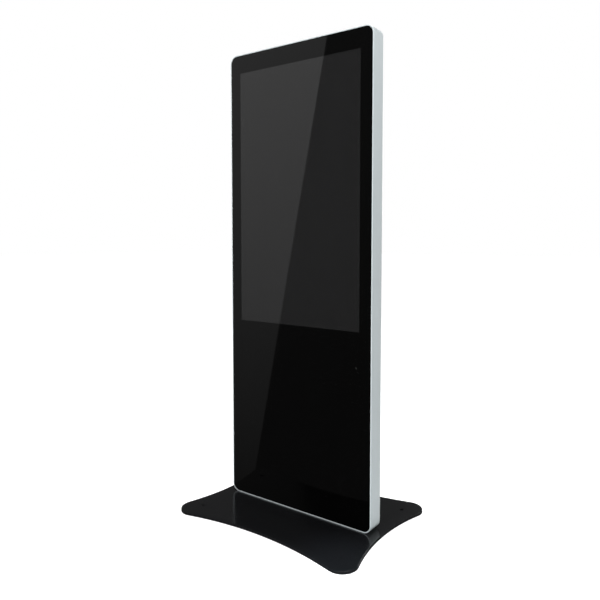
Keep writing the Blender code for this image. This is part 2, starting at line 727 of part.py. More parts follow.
def make_power_supply(metal, body):
    """A closed metal case with a row of screw terminals at its lower end."""
    x, z = (-0.200, -0.090), (0.170, 0.370)
    front = PANEL_BACK + GAP
    back = front + 0.030
    bm = bmesh.new()
    add_box(bm, x, (front, back), z)
    case = solid("power_supply", bm, metal, body)
    notch = bmesh.new()
    notch_y = (front + 0.012, back + 0.001)
    add_box(notch, (x[0] - 0.001, x[1] + 0.001), notch_y, (z[0] - 0.001, z[0] + 0.018))
    cut(case, notch, body)
    ribs = bmesh.new()
    rib_y = (front + 0.011, front + 0.022)
    for number in range(7):
        rib = x[0] + 0.010 + number * 0.015
        add_box(ribs, (rib, rib + 0.002), rib_y, (z[0] + 0.002, z[0] + 0.0185))
    unite(case, ribs, body)


def make_controller_board(laminate, body):
    """The computer board on four spacers, with its connectors and capacitors."""
    x, z = (0.030, 0.200), (0.180, 0.320)
    low = PANEL_BACK + 0.006
    thickness = 0.0016
    bm = bmesh.new()
    add_box(bm, x, (low, low + thickness), z)
    board = solid("controller_board", bm, laminate, body)
    spacers = bmesh.new()
    for spacer_x in (x[0] + 0.006, x[1] - 0.006):
        for spacer_z in (z[0] + 0.006, z[1] - 0.006):
            spacer = moved(circle(0.003, 8), spacer_x, spacer_z)
            add_prism(spacers, spacer, PANEL_BACK + GAP, low + 0.0005, backward)
    unite(board, spacers, body)
    top = low + thickness
    parts = bmesh.new()
    blocks = ((0.034, 0.050, 0.190, 0.206, 0.012), (0.034, 0.050, 0.214, 0.230, 0.012),
              (0.150, 0.190, 0.300, 0.308, 0.006), (0.176, 0.194, 0.200, 0.240, 0.009),
              (0.070, 0.100, 0.190, 0.196, 0.006), (0.110, 0.124, 0.290, 0.304, 0.003))
    for x0, x1, z0, z1, tall in blocks:
        add_box(parts, (x0, x1), (top - 0.0005, top + tall), (z0, z1))
    for number in range(4):
        can = moved(circle(0.004, 10), 0.065 + number * 0.011, 0.306)
        add_prism(parts, can, top - 0.0005, top + 0.011, backward)
    unite(board, parts, body)


def make_heatsink(aluminium, body):
    """A comb of upright fins on the computer's processor."""
    fins, pitch, thick = 9, 0.0055, 0.0018
    half = (fins - 1) * pitch / 2 + thick / 2
    outline = [(-half, 0.0), (half, 0.0)]
    for number in reversed(range(fins)):
        middle = (number - (fins - 1) / 2) * pitch
        outline += [(middle + thick / 2, 0.012), (middle - thick / 2, 0.012)]
        if number:
            outline += [(middle - thick / 2, 0.003), (middle - pitch + thick / 2, 0.003)]
    bm = bmesh.new()
    add_prism(bm, outline, -0.024, 0.024, upward)
    seat = PANEL_BACK + 0.006 + 0.0016 + GAP
    solid("controller_heatsink", bm, aluminium, body, (0.115, seat, 0.245))


def make_small_board(name, size, height, blocks, laminate, body, location):
    """A circuit board lying against the sheet in front of it, with a few square parts on its back."""
    bm = bmesh.new()
    half_x, half_z = size[0] / 2, size[1] / 2
    add_box(bm, (-half_x, half_x), (0, 0.0016), (-half_z, half_z))
    board = solid(name, bm, laminate, body, location)
    parts = bmesh.new()
    for x, z, width in blocks:
        add_box(parts, (x - width / 2, x + width / 2), (0.001, height), (z - 0.005, z + 0.005))
    unite(board, parts, body, location)


def make_sensor(plastic, body):
    """The light and remote-control sensor behind the small clear spot in the glass."""
    bm = bmesh.new()
    lens = ((0.0022, GLASS_BACK + GAP), (0.0032, GLASS_BACK + 0.0010), (0.0032, PANEL_BACK + 0.002))
    add_layers(bm, [(circle(radius, 12), y) for radius, y in lens], backward)
    location = (SENSOR[0], 0, SENSOR[1])
    sensor = solid("sensor", bm, plastic, body, location)
    board = bmesh.new()
    add_box(board, (-0.008, 0.008), (PANEL_BACK + 0.001, PANEL_BACK + 0.0026), (-0.010, 0.010))
    unite(sensor, board, body, location)


# ---- fans and speakers --------------------------------------------------------------------------

def make_fan(number, x, plastic, body, spindle):
    """A square duct with a motor hub held by four struts, and a bladed rotor that spins inside it."""
    place = (x, FAN_Y, FAN_Z)
    half = FAN_SIZE / 2
    duct = 0.038
    bm = bmesh.new()
    add_prism(bm, rounded(FAN_SIZE, FAN_SIZE, 0.004, 2), 0.0, FAN_DEPTH, backward)
    housing = solid(f"fan_housing_{number}", bm, plastic, body, place)
    hollow = bmesh.new()
    add_prism(hollow, circle(duct, 32), -0.001, FAN_DEPTH + 0.001, backward)
    for side_x in (-1, 1):
        for side_z in (-1, 1):
            hole = moved(circle(0.0021, 8), side_x * (half - 0.0042), side_z * (half - 0.0042))
            add_prism(hollow, hole, -0.001, FAN_DEPTH + 0.001, backward)
    cut(housing, hollow, body, place)
    struts = bmesh.new()
    add_box(struts, (-duct - 0.001, duct + 0.001), (0.0215, 0.0245), (-0.002, 0.002))
    unite(housing, struts, body, place)
    struts = bmesh.new()
    add_box(struts, (-0.002, 0.002), (0.0216, 0.0244), (-duct - 0.001, duct + 0.001))
    unite(housing, struts, body, place)
    hub = bmesh.new()
    add_prism(hub, circle(0.018, 20), 0.0212, 0.0248, backward)
    unite(housing, hub, body, place)
    bearing = bmesh.new()
    add_prism(bearing, circle(0.0050, 12), 0.0100, 0.0230, backward)
    unite(housing, bearing, body, place)
    bore = bmesh.new()
    add_prism(bore, circle(0.0022, 12), 0.0080, 0.0235, backward)
    cut(housing, bore, body, place)

    bm = bmesh.new()
    cup = ((0.0018, 0.0220), (0.0018, 0.0062), (0.0150, 0.0062), (0.0150, 0.0200), (0.0170, 0.0200),
           (0.0170, 0.0050), (0.0158, 0.0036), (0.0020, 0.0036))
    add_layers(bm, [(circle(radius, 20), y) for radius, y in cup], backward)
    rotor = solid(f"fan_rotor_{number}", bm, plastic, spindle)
    blades = bmesh.new()
    for blade in range(7):
        add_blade(blades, math.tau * blade / 7)
    unite(rotor, blades, spindle)


def add_blade(bm, turn):
    """A twisted paddle from the rotor's cup out to near the duct's wall."""
    thick = 0.0007
    loops = []
    for radius, pitch, chord in ((0.0164, 48, 0.0100), (0.0265, 40, 0.0120), (0.0362, 33, 0.0135)):
        angle = math.radians(pitch)
        corners = []
        for along, across in ((-1, -1), (1, -1), (1, 1), (-1, 1)):
            tangent = along * chord * math.cos(angle) / 2 - across * thick * math.sin(angle)
            depth = 0.0120 + along * chord * math.sin(angle) / 2 + across * thick * math.cos(angle)
            bend = turn + tangent / radius
            corners.append(bm.verts.new((radius * math.cos(bend), depth, radius * math.sin(bend))))
        loops.append(corners)
    for inner, outer in zip(loops, loops[1:]):
        for i in range(4):
            after = (i + 1) % 4
            bm.faces.new((inner[i], inner[after], outer[after], outer[i]))
    bm.faces.new(loops[0])
    bm.faces.new(loops[-1])


def make_speaker(name, x, plastic, body):
    """A flat sealed speaker that fires backwards through the cover's slots."""
    back = RETURN_BACK - 0.0005
    place = (x, 0, SPEAKER_Z)
    bm = bmesh.new()
    add_prism(bm, rounded(*SPEAKER_SIZE, 0.006, 3), back - 0.024, back, backward)
    box = solid(name, bm, plastic, body, place)
    cone = bmesh.new()
    profile = ((0.0235, back + 0.001), (0.0235, back - 0.003), (0.0210, back - 0.0022),
               (0.0190, back - 0.0032), (0.0090, back - 0.0100), (0.0060, back - 0.0080),
               (0.0020, back - 0.0070))
    add_layers(cone, [(circle(radius, 24), y) for radius, y in profile], backward)
    cut(box, cone, body, place)


# ---- wiring -------------------------------------------------------------------------------------

def make_mains_lead(insulation, body):
    """The lead from the back of the mains inlet up to the power supply's terminals."""
    route = ((-0.095, -0.0070, 0.0750), (-0.0950, -0.0120, 0.0752), (-0.100, -0.0165, 0.0850),
             (-0.112, -0.0180, 0.1030), (-0.123, -0.0180, 0.1230), (-0.128, -0.0175, 0.1450),
             (-0.128, -0.0170, 0.1690))
    curve = bpy.data.curves.new("mains_lead", "CURVE")
    curve.dimensions = "3D"
    curve.bevel_depth = 0.0030
    curve.bevel_resolution = 2
    curve.use_fill_caps = True
    curve.resolution_u = 3
    spline = curve.splines.new("BEZIER")
    spline.bezier_points.add(len(route) - 1)
    for point, place in zip(spline.bezier_points, route):
        point.co = place
        point.handle_left_type = "AUTO"
        point.handle_right_type = "AUTO"
    lead = bpy.data.objects.new("mains_lead", curve)
    bpy.context.scene.collection.objects.link(lead)
    lead.parent = body
    lead.data.materials.append(insulation)


def make_panel_cable(film, body):
    """The flat cable from the computer board, behind the middle beam, up to the display's board."""
    thick = 0.0008
    low = PANEL_BACK + 0.006 + 0.0016 + GAP
    centre = [(low, 0.3120), (low, 0.3300), (-0.0140, 0.3600), (-0.0040, 0.4200), (0.0016, 0.5200),
              (0.0016, 0.6900), (-0.0040, 0.7100), (-0.0115, 0.7200), (-0.0115, 0.7350)]
    outline = [(y, z) for y, z in centre] + [(y + thick, z + 0.0002) for y, z in reversed(centre)]
    bm = bmesh.new()
    add_prism(bm, outline, -0.012, 0.012, sideways)
    solid("panel_cable", bm, film, body, (0.130, 0, 0))


# ---- assembly -----------------------------------------------------------------------------------

def main():
    for obj in list(bpy.data.objects):
        bpy.data.objects.remove(obj, do_unlink=True)

    black_paint = principled("black_powder_coat", (0.012, 0.013, 0.014), 0.35)
    aluminium = principled("anodised_aluminium", (0.62, 0.66, 0.67), 0.32, 0.6)
    glass = principled("black_edged_glass", (0.006, 0.006, 0.006), 0.06)
    lcd = principled("display_surface", (0.014, 0.014, 0.014), 0.25)
    film = principled("touch_film", (0.05, 0.05, 0.05), 0.2)
    rubber = principled("black_rubber", (0.01, 0.01, 0.01), 0.8)
    foam = principled("foam_tape", (0.02, 0.02, 0.02), 0.9)
    bare_steel = principled("zinc_plated_steel", (0.55, 0.56, 0.57), 0.4, 1.0)
    chrome = principled("chromed_zinc", (0.75, 0.75, 0.76), 0.15, 1.0)
    white_plastic = principled("white_plastic", (0.75, 0.75, 0.74), 0.5)
    black_plastic = principled("black_plastic", (0.015, 0.015, 0.015), 0.45)
    laminate = principled("green_laminate", (0.01, 0.12, 0.05), 0.4)
    raw_aluminium = principled("bare_aluminium", (0.70, 0.71, 0.72), 0.35, 1.0)

    make_base_plate(black_paint)
    make_base_pads(rubber)
    make_base_bolts(bare_steel)

    body = empty("body", (0, 0, BODY_BOTTOM))
    make_side_frame(aluminium, body)
    make_front_glass(glass, body)
    make_glass_gasket(foam, body)
    make_touch_film(film, body)
    make_lcd_bezel(black_paint, body)
    make_lcd_cell(lcd, body)
    make_diffuser_stack(white_plastic, body)
    make_backlight_tray(bare_steel, body)
    make_bottom_plate(bare_steel, body)
    make_uprights(bare_steel, body)
    make_cross_beams(bare_steel, body)
    make_glass_support(bare_steel, body)

    make_rear_cover(black_paint, body)
    make_cover_screws(bare_steel, body)
    hinge = empty("door_hinge_axis", (HINGE_X, HINGE_Y, 0), body)
    make_service_door(black_paint, hinge)
    for label, z in zip(("lower", "upper"), HINGE_HEIGHTS):
        make_hinge(label, z, bare_steel, body, hinge)
    lock = empty("lock_axis", (LOCK[0] - HINGE_X, -HINGE_Y, LOCK[1]), hinge)
    make_lock(chrome, bare_steel, hinge, lock)

    make_io_tray(black_paint, body)
    make_mains_inlet(black_plastic, body)
    rocker_place = (TRAY_CENTRE[0] + SWITCH_X, TRAY_FLOOR + 0.0008, TRAY_CENTRE[1])
    rocker_axis = empty("rocker_axis", rocker_place, body)
    make_power_switch(black_plastic, body, rocker_axis)
    make_data_sockets(raw_aluminium, body)

    make_power_supply(raw_aluminium, body)
    make_controller_board(laminate, body)
    make_heatsink(raw_aluminium, body)
    touch_blocks = ((-0.025, 0.0, 0.016), (0.010, 0.0, 0.020))
    touch_place = (0.150, PANEL_BACK + GAP, 0.420)
    make_small_board("touch_controller", (0.090, 0.040), 0.006, touch_blocks, laminate, body, touch_place)
    panel_blocks = ((-0.060, 0.0, 0.020), (-0.020, 0.005, 0.024), (0.040, 0.0, 0.012))
    panel_place = (0.0, MODULE_BACK + GAP, 0.730)
    make_small_board("display_board", (0.200, 0.050), 0.004, panel_blocks, laminate, body, panel_place)
    make_sensor(black_plastic, body)

    for number, x in ((1, -FAN_X), (2, FAN_X)):
        spindle = empty(f"fan_spindle_{number}", (x, FAN_Y, FAN_Z), body)
        make_fan(number, x, black_plastic, body, spindle)
    make_speaker("speaker_left", -SPEAKER_X, black_plastic, body)
    make_speaker("speaker_right", SPEAKER_X, black_plastic, body)
    make_mains_lead(black_plastic, body)
    make_panel_cable(white_plastic, body)


main()
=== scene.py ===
"""Looks for a freestanding touchscreen kiosk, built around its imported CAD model.

Metres, +Z up, -Y to the front. Pieces are drawn in place, so each object sits at the origin.
"""

import math

import bmesh
import bpy
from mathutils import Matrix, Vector


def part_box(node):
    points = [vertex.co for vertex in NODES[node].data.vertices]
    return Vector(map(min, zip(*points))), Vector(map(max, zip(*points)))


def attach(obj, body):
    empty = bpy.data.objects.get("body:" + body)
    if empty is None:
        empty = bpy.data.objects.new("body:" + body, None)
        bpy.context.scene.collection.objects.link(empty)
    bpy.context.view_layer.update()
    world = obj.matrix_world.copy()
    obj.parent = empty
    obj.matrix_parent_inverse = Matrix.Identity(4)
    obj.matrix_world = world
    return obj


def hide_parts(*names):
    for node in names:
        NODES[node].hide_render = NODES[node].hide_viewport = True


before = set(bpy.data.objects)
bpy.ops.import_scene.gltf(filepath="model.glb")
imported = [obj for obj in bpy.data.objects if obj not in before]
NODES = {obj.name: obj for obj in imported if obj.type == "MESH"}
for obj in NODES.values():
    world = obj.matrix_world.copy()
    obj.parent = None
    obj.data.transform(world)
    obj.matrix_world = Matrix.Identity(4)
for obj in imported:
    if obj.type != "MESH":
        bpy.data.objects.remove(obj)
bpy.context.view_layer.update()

GAP = 0.0003
BODY_LOW, BODY_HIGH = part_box("side_frame")
BODY_WIDTH = BODY_HIGH.x - BODY_LOW.x
BODY_HEIGHT = BODY_HIGH.z - BODY_LOW.z
BODY_FOOT = BODY_LOW.z
MIDDLE_Z = (BODY_LOW.z + BODY_HIGH.z) / 2
FRONT, BACK = BODY_LOW.y, BODY_HIGH.y
CORNER_RADIUS = 0.030
CORNER_STEPS = 18
BEAD = 0.0035  # width of the bright rim round the glass and the cover
FRONT_EDGE_RADIUS = 0.0012
BACK_EDGE_RADIUS = 0.003
WALL = 0.0025
LEDGE = 0.016  # how far the ledges inside the band reach in from its outside
LEDGE_THICKNESS = 0.002
GLASS_RECESS = 0.0005  # how far the glass sits behind the rim
GLASS_THICKNESS = 0.004
GASKET_THICKNESS = 0.0015
COVER_THICKNESS = 0.0015
HINGE_LEAF_THICKNESS = 0.0015
SCREEN_SIZE = (0.5294, 0.9412)

BASE_TIP_RADIUS = 0.055
BASE_MIDDLE = (0.343, 0.240)  # half width and half depth of the plate where its sides are hollowest
ANCHOR_RADIUS = 0.0065
BOLT_HOLE_RADIUS = 0.0055
COUNTERSINK_RADIUS = 0.0108
COVER_SCREW_HOLE_RADIUS = 0.0023

SHARP_ANGLE = math.radians(32)


# ---- materials ----------------------------------------------------------------------------------

class Look:
    """A node material: one Principled shader, with short ways to add detail to it."""

    def __init__(self, name, colour, roughness, metallic=0.0, **sockets):
        self.material = bpy.data.materials.new(name)
        self.material.use_nodes = True
        self.tree = self.material.node_tree
        self.shader = self.tree.nodes["Principled BSDF"]
        self.set("Base Color", (*colour, 1.0))
        self.set("Roughness", roughness)
        self.set("Metallic", metallic)
        for key, value in sockets.items():
            self.set(key.replace("_", " "), value)
        self.place = self.node("ShaderNodeTexCoord").outputs["Object"]

    def set(self, socket, value):
        self.feed(self.shader.inputs[socket], value)

    def feed(self, socket, value):
        if isinstance(value, bpy.types.NodeSocket):
            self.tree.links.new(value, socket)
        else:
            socket.default_value = value

    def node(self, kind, values=(), **settings):
        node = self.tree.nodes.new(kind)
        for key, value in settings.items():
            setattr(node, key, value)
        for key, value in dict(values).items():
            self.feed(node.inputs[key], value)
        return node

    def stretched(self, scale):
        """Object coordinates scaled by a number for each axis."""
        mapping = self.node("ShaderNodeMapping", {"Vector": self.place, "Scale": scale})
        return mapping.outputs["Vector"]

    def noise(self, scale, detail=2.0, stretch=(1, 1, 1), roughness=0.5):
        values = {"Vector": self.stretched(stretch), "Scale": scale, "Detail": detail,
                  "Roughness": roughness}
        return self.node("ShaderNodeTexNoise", values).outputs["Fac"]

    def cells(self, scale, randomness=1.0, stretch=(1, 1, 1)):
        values = {"Vector": self.stretched(stretch), "Scale": scale, "Randomness": randomness}
        return self.node("ShaderNodeTexVoronoi", values).outputs["Distance"]

    def span(self, value, low, high, start=0.3, end=0.7):
        """Value between start and end, spread from low to high."""
        values = {"Value": value, "From Min": start, "From Max": end, "To Min": low,
                  "To Max": high}
        return self.node("ShaderNodeMapRange", values).outputs["Result"]

    def maths(self, operation, first, second=0.0):
        return self.node("ShaderNodeMath", {0: first, 1: second}, operation=operation).outputs[0]

    def mix(self, factor, first, second):
        """One colour turning into another."""
        node = self.node("ShaderNodeMix", data_type="RGBA")
        self.feed(node.inputs[0], factor)
        for socket, colour in ((node.inputs[6], first), (node.inputs[7], second)):
            plain = not isinstance(colour, bpy.types.NodeSocket)
            self.feed(socket, (*colour, 1.0) if plain else colour)
        return node.outputs[2]

    def bump(self, height, strength, distance):
        values = {"Height": height, "Strength": strength, "Distance": distance}
        self.set("Normal", self.node("ShaderNodeBump", values).outputs["Normal"])
        return self


def powder_coat(name, colour, roughness, grain, peel_strength):
    """Baked powder paint: a fine orange peel, with a little dust caught in it."""
    look = Look(name, colour, roughness)
    fine = look.noise(grain)
    coarse = look.noise(grain * 0.35)
    peel = look.maths("ADD", fine, look.maths("MULTIPLY", coarse, 0.8))
    look.bump(peel, peel_strength, 0.00025)
    cloud = look.noise(9.0, 4.0)
    look.set("Roughness", look.span(cloud, roughness - 0.03, roughness + 0.04))
    speck = look.span(look.noise(1700.0, 1.0), 0.0, 1.0, 0.68, 0.80)
    lighter = [1.5 * channel + 0.002 for channel in colour]
    look.set("Base Color", look.mix(speck, colour, lighter))
    return look.material


def anodised_aluminium():
    """Bead-blasted, silver anodised extrusion: faint lines along its length, fine grain across."""
    look = Look("silver_anodised", (0.526, 0.574, 0.587), 0.36, 0.22)
    lines = look.noise(260.0, 3.0, (0.02, 1.0, 0.02))
    grain = look.noise(2600.0, 1.0)
    cloud = look.noise(3.5, 3.0)
    look.bump(look.maths("ADD", look.maths("MULTIPLY", grain, 0.6), lines), 0.05, 0.00010)
    look.set("Roughness", look.span(look.maths("ADD", cloud, lines), 0.33, 0.42, 0.7, 1.3))
    tone = look.maths("ADD", look.maths("MULTIPLY", cloud, 0.5),
                      look.maths("MULTIPLY", lines, 0.5))
    look.set("Base Color", look.mix(look.span(tone, 0.0, 1.0), (0.519, 0.569, 0.582),
                                    (0.532, 0.580, 0.593)))
    return look.material


def coated_glass(name, colour, ior, tint):
    """Toughened glass over black print. Wiping leaves faint streaks and a few finger marks."""
    look = Look(name, colour, 0.02, IOR=ior)
    streaks = look.noise(3.0, 5.0, (2.6, 1.0, 0.8), 0.6)
    marks = look.span(look.cells(7.0), 1.0, 0.0, 0.05, 0.16)
    smear = look.maths("MULTIPLY", marks, look.noise(60.0, 3.0))
    wiped = look.span(streaks, 0.012, 0.034, 0.35, 0.70)
    look.set("Roughness", look.maths("ADD", wiped, look.maths("MULTIPLY", smear, 0.03)))
    look.set("Base Color", look.mix(look.span(streaks, 0.0, 1.0), colour, tint))
    return look.material


def zinc_plate(name="bright_zinc"):
    """Zinc-plated sheet and fasteners: a soft crystal mottle and a little yellow passivation."""
    look = Look(name, (0.56, 0.57, 0.58), 0.38, 1.0)
    mottle = look.noise(55.0, 4.0)
    crystals = look.cells(140.0)
    look.set("Base Color", look.mix(look.span(mottle, 0.0, 1.0), (0.52, 0.54, 0.56),
                                    (0.64, 0.62, 0.57)))
    look.set("Roughness", look.span(look.maths("ADD", mottle, crystals), 0.30, 0.46, 0.5, 1.3))
    look.bump(look.noise(700.0, 2.0), 0.10, 0.0001)
    return look.material


def chrome():
    look = Look("satin_chrome", (0.74, 0.74, 0.75), 0.14, 1.0)
    scratches = look.noise(900.0, 3.0, (1.0, 1.0, 0.06))
    look.set("Roughness", look.span(scratches, 0.10, 0.22))
    look.set("Base Color", look.mix(look.span(look.noise(80.0), 0.0, 1.0), (0.71, 0.71, 0.72),
                                    (0.78, 0.78, 0.79)))
    look.bump(scratches, 0.06, 0.00005)
    return look.material


def brushed_aluminium():
    look = Look("mill_aluminium", (0.66, 0.67, 0.68), 0.36, 1.0)
    brush = look.noise(420.0, 4.0, (1.0, 1.0, 0.03))
    look.set("Roughness", look.span(brush, 0.28, 0.46))
    look.set("Base Color", look.mix(look.span(brush, 0.0, 1.0), (0.60, 0.61, 0.62),
                                    (0.72, 0.73, 0.74)))
    look.bump(brush, 0.12, 0.00008)
    return look.material


def perforated_case():
    """The power supply's case: bent aluminium with rows of small vent holes, which are not cut but
    painted on as near-black dots of painted shade.
    """
    look = Look("vented_aluminium", (0.62, 0.63, 0.63), 0.34, 1.0)
    pitch = 0.0055
    dots = look.cells(1 / pitch, randomness=0.0, stretch=(1.0, 0.0, 1.0))
    hole = look.span(dots, 1.0, 0.0, 0.30, 0.34)
    brush = look.noise(380.0, 3.0, (1.0, 1.0, 0.04))
    plain = look.mix(look.span(brush, 0.0, 1.0), (0.57, 0.58, 0.58), (0.67, 0.68, 0.68))
    # Painted shade: the vent holes are only near-black dots in the colour, standing in for the
    # shade inside holes that are not cut.
    look.set("Base Color", look.mix(hole, plain, (0.012, 0.012, 0.012)))
    look.set("Metallic", look.span(hole, 1.0, 0.0, 0.0, 1.0))
    look.set("Roughness", look.maths("ADD", look.span(brush, 0.28, 0.40),
                                     look.maths("MULTIPLY", hole, 0.4)))
    look.bump(look.maths("SUBTRACT", look.maths("MULTIPLY", brush, 0.1), hole), 0.6, 0.0006)
    return look.material


def moulded_plastic(name, colour, roughness):
    """Injection-moulded plastic with a spark-eroded grain."""
    look = Look(name, colour, roughness)
    grain = look.maths("ADD", look.noise(1500.0, 2.0), look.cells(1900.0))
    look.bump(grain, 0.16, 0.00012)
    look.set("Roughness", look.span(look.noise(30.0, 3.0), roughness - 0.05, roughness + 0.07))
    paler = [1.3 * channel + 0.003 for channel in colour]
    look.set("Base Color", look.mix(look.span(grain, 0.0, 1.0, 0.6, 1.3), colour, paler))
    return look.material


def rubber():
    look = Look("moulded_rubber", (0.011, 0.011, 0.011), 0.78)
    look.bump(look.maths("ADD", look.noise(800.0, 3.0), look.noise(160.0)), 0.25, 0.0002)
    dust = look.span(look.noise(45.0, 4.0), 0.0, 1.0, 0.45, 0.8)
    look.set("Base Color", look.mix(dust, (0.010, 0.010, 0.010), (0.030, 0.029, 0.027)))
    look.set("Roughness", look.span(look.noise(90.0), 0.70, 0.86))
    return look.material


def foam():
    look = Look("closed_cell_foam", (0.02, 0.02, 0.02), 0.92)
    cells = look.cells(1400.0)
    look.bump(cells, 0.5, 0.0004)
    look.set("Base Color", look.mix(look.span(cells, 0.0, 1.0, 0.1, 0.6), (0.010, 0.010, 0.010),
                                    (0.040, 0.040, 0.041)))
    look.set("Roughness", look.span(look.noise(60.0), 0.86, 0.96))
    return look.material


def circuit_board():
    """Green solder mask over straight copper tracks, with rows of pads."""
    look = Look("circuit_board", (0.010, 0.11, 0.045), 0.38)
    tracks = look.node("ShaderNodeTexBrick", {
        "Vector": look.node("ShaderNodeMapping", {
            "Vector": look.place, "Rotation": (math.radians(90), 0, 0)}).outputs["Vector"],
        "Scale": 1.0, "Mortar Size": 0.00035, "Brick Width": 0.0105, "Row Height": 0.0022,
        "Mortar Smooth": 0.2, "Bias": 0.0, "Color1": (0, 0, 0, 1), "Color2": (0, 0, 0, 1),
        "Mortar": (1, 1, 1, 1)})
    copper = tracks.outputs["Fac"]
    pads = look.span(look.cells(230.0, randomness=0.25, stretch=(1.0, 0.0, 1.0)), 1.0, 0.0,
                     0.14, 0.17)
    groups = look.span(look.noise(60.0, 1.0), 0.0, 1.0, 0.54, 0.56)
    pads = look.maths("MULTIPLY", pads, groups)
    mask = look.mix(look.maths("MULTIPLY", copper, 0.8), (0.006, 0.075, 0.028),
                    (0.018, 0.19, 0.065))
    look.set("Base Color", look.mix(pads, mask, (0.62, 0.60, 0.54)))
    look.set("Metallic", look.maths("MULTIPLY", pads, 0.9))
    look.set("Roughness", look.span(look.noise(300.0), 0.30, 0.44))
    look.bump(look.maths("ADD", copper, pads), 0.3, 0.00008)
    return look.material


def diffuser():
    look = Look("white_sheet", (0.72, 0.72, 0.71), 0.5)
    look.set("Base Color", look.mix(look.span(look.noise(25.0, 3.0), 0.0, 1.0),
                                    (0.69, 0.69, 0.68), (0.75, 0.75, 0.74)))
    look.bump(look.cells(900.0, randomness=0.0), 0.1, 0.0001)
    look.set("Roughness", look.span(look.noise(200.0), 0.45, 0.58))
    return look.material


def flat_cable():
    """White film over a row of flat copper wires, which show as grey lines."""
    look = Look("flat_cable_film", (0.70, 0.70, 0.69), 0.35)
    wave = look.node("ShaderNodeTexWave", {"Vector": look.place, "Scale": 160.0},
                     wave_type="BANDS", bands_direction="X").outputs["Fac"]
    wires = look.span(wave, 0.0, 1.0, 0.35, 0.65)
    look.set("Base Color", look.mix(wires, (0.74, 0.74, 0.73), (0.50, 0.50, 0.52)))
    look.bump(wires, 0.35, 0.0001)
    look.set("Roughness", look.span(look.noise(90.0), 0.28, 0.42))
    return look.material


def sheathing():
    """Soft black insulation with a few dull scuffs."""
    look = Look("lead_insulation", (0.014, 0.014, 0.014), 0.48)
    look.bump(look.noise(500.0, 3.0), 0.2, 0.0001)
    look.set("Roughness", look.span(look.noise(70.0, 3.0), 0.40, 0.58))
    look.set("Base Color", look.mix(look.span(look.noise(110.0, 3.0), 0.0, 1.0, 0.5, 0.8),
                                    (0.013, 0.013, 0.013), (0.035, 0.035, 0.034)))
    return look.material


def film():
    look = Look("touch_film", (0.05, 0.05, 0.05), 0.2)
    grid = look.cells(180.0, randomness=0.0, stretch=(1.0, 0.0, 1.0))
    look.set("Base Color", look.mix(look.span(grid, 0.0, 1.0, 0.1, 0.6), (0.045, 0.045, 0.046),
                                    (0.060, 0.060, 0.061)))
    look.set("Roughness", look.span(look.noise(40.0), 0.16, 0.26))
    look.bump(grid, 0.05, 0.00005)
    return look.material


def polariser():
    look = Look("lcd_polariser", (0.012, 0.012, 0.013), 0.26)
    rows = look.cells(1200.0, randomness=0.0, stretch=(1.0, 0.0, 1.0))
    look.set("Roughness", look.span(rows, 0.22, 0.32, 0.1, 0.6))
    look.set("Base Color", look.mix(look.span(rows, 0.0, 1.0, 0.1, 0.6), (0.010, 0.010, 0.011),
                                    (0.015, 0.015, 0.016)))
    look.bump(rows, 0.05, 0.00003)
    return look.material


BASE_PAINT = powder_coat("base_powder_coat", (0.0050, 0.0053, 0.0060), 0.16, 950.0, 0.05)
COVER_PAINT = powder_coat("cover_powder_coat", (0.014, 0.0145, 0.015), 0.42, 800.0, 0.12)
ALUMINIUM = anodised_aluminium()
BORDER_GLASS = coated_glass("black_printed_glass", (0.0001, 0.0001, 0.0001), 1.50,
                            (0.0003, 0.0003, 0.0003))
SCREEN_GLASS = coated_glass("glass_over_display", (0.0060, 0.0060, 0.0061), 1.75,
                            (0.0067, 0.0067, 0.0068))
SENSOR_GLASS = coated_glass("glass_over_sensor", (0.016, 0.017, 0.015), 1.6,
                            (0.020, 0.021, 0.019))
ZINC = zinc_plate()
RIVET = zinc_plate("rivet_zinc")
CHROME = chrome()
MILL = brushed_aluminium()
VENTED = perforated_case()
BLACK_PLASTIC = moulded_plastic("black_plastic", (0.013, 0.013, 0.013), 0.45)
RUBBER = rubber()
FOAM = foam()
BOARD = circuit_board()
WHITE_SHEET = diffuser()
CABLE = flat_cable()
LEAD = sheathing()
FILM = film()
POLARISER = polariser()

NODE_LOOKS = {
    "base_bolt": ZINC, "base_pad": RUBBER, "base_plate": BASE_PAINT, "front_glass": BORDER_GLASS,
    "side_frame": ALUMINIUM, "glass_gasket": FOAM, "touch_film": FILM, "lcd_bezel": COVER_PAINT,
    "lcd_cell": POLARISER, "diffuser_stack": WHITE_SHEET, "backlight_tray": ZINC,
    "bottom_plate": ZINC, "upright": ZINC, "cross_beam": ZINC, "glass_support": ZINC,
    "rear_cover": COVER_PAINT, "cover_screw": ZINC, "service_door": COVER_PAINT,
    "hinge": ZINC, "lock_housing": CHROME, "lock_plug": CHROME, "lock_nut": ZINC,
    "lock_cam": ZINC, "io_tray": COVER_PAINT, "mains_inlet": BLACK_PLASTIC,
    "switch": BLACK_PLASTIC, "data_sockets": MILL, "power_supply": VENTED,
    "controller_board": BOARD, "controller_heatsink": MILL, "touch_controller": BOARD,
    "display_board": BOARD, "sensor": BLACK_PLASTIC, "fan": BLACK_PLASTIC,
    "speaker": BLACK_PLASTIC, "mains_lead": LEAD, "panel_cable": CABLE,
}


def finish_nodes():
    """Give each CAD node the look whose key its name starts with."""
    for name, obj in NODES.items():
        key = max((key for key in NODE_LOOKS if name.startswith(key)), key=len)
        if not obj.material_slots:
            obj.data.materials.append(NODE_LOOKS[key])
        for slot in obj.material_slots:
            slot.material = NODE_LOOKS[key]


# ---- plane shapes -------------------------------------------------------------------------------

def rounded(width, height, radius, steps):
    """Outline of a rounded rectangle round the origin, anticlockwise."""
    points = []
    for corner, (side_u, side_v) in enumerate(((1, 1), (-1, 1), (-1, -1), (1, -1))):
        centre_u = side_u * (width / 2 - radius)
        centre_v = side_v * (height / 2 - radius)
        for step in range(steps + 1):
            angle = (corner + step / steps) * math.pi / 2
            points.append((centre_u + radius * math.cos(angle),
                           centre_v + radius * math.sin(angle)))
    return points


